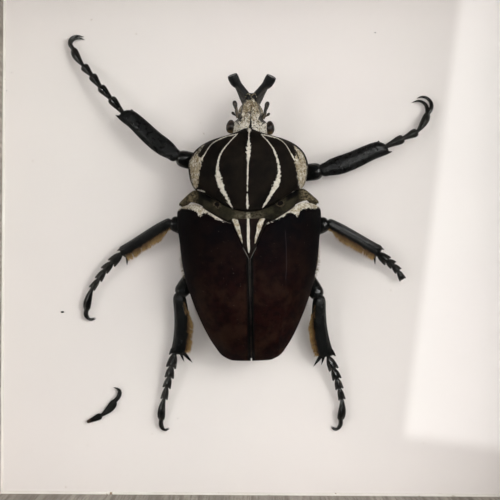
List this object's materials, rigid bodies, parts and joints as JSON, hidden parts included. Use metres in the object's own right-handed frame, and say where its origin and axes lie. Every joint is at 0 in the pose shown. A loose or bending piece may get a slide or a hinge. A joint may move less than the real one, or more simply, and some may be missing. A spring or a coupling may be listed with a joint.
{
  "type": "framed goliath beetle",
  "caption": "Goliath beetle with a forked horn and striped thorax, fixed on a white board in a square glazed shadow-box frame of grey limed wood.",
  "frame": {"origin": "middle of the frame's back, on the surface it lies on", "axes": "+Z out through the glass, +Y towards the beetle's head, +X to the beetle's right side as seen through the glass"},
  "size_m": [0.212, 0.212, 0.062],
  "materials": {
    "limed_wood": "grey-taupe limed wood, fine grain, satin",
    "liner_wood": "grey-taupe washed strip with fine streaks from front to back",
    "white_slip": "white card edge, slightly worn",
    "white_board": "warm white paper-faced board, matt",
    "hardboard": "brown hardboard, matt",
    "steel": "zinc-plated spring steel",
    "glass": "clear picture glass, polished",
    "maroon_shell": "dark maroon-brown wing case, velvety satin, mottled lighter to the rear",
    "striped_velvet": "dark brown velvet with chalk-white stripes",
    "grey_velvet": "grey-olive velvet",
    "chalk": "chalk-white bloom over black, black horn",
    "eye": "polished brown",
    "black_shell": "black shell, glossy, with fine punctures",
    "brown_shell": "dark brown shell with pale hair at the sides",
    "golden_hair": "dense golden bristles"
  },
  "bodies": {
    "root": {"frame_top": "limed_wood", "frame_bottom": "limed_wood", "frame_left": "limed_wood", "frame_right": "limed_wood", "liner_top": "liner_wood", "liner_bottom": "liner_wood", "liner_left": "liner_wood", "liner_right": "liner_wood", "slip_top": "white_slip", "slip_bottom": "white_slip", "slip_left": "white_slip", "slip_right": "white_slip", "tab_top_1": "steel", "tab_top_2": "steel", "tab_bottom_1": "steel", "tab_bottom_2": "steel", "tab_left_1": "steel", "tab_left_2": "steel", "tab_right_1": "steel", "tab_right_2": "steel", "hanger": "steel", "glass": "glass", "backing_board": "white_board", "back_panel": "hardboard", "head": "chalk", "eye_left": "eye", "eye_right": "eye", "antenna_left": "black_shell", "antenna_right": "black_shell", "pronotum": "striped_velvet", "scutellum": "striped_velvet", "mesothorax": "grey_velvet", "elytron_left": "maroon_shell", "elytron_right": "maroon_shell", "underbody": "brown_shell", "femur_front_left": "black_shell", "tibia_front_left": "black_shell", "tarsus_front_left": "black_shell", "femur_front_right": "black_shell", "tibia_front_right": "black_shell", "tarsus_front_right": "black_shell", "femur_middle_left": "black_shell", "tibia_middle_left": "black_shell", "tarsus_middle_left": "black_shell", "femur_middle_right": "black_shell", "tibia_middle_right": "black_shell", "tarsus_middle_right": "black_shell", "femur_hind_left": "black_shell", "tibia_hind_left": "black_shell", "tarsus_hind_left": "black_shell", "femur_hind_right": "black_shell", "tibia_hind_right": "black_shell", "tarsus_hind_right": "black_shell", "fringe_middle_left": "golden_hair", "fringe_middle_right": "golden_hair", "fringe_hind_left": "golden_hair", "fringe_hind_right": "golden_hair", "loose_tarsus_tip": "black_shell"}
  },
  "joints": []
}
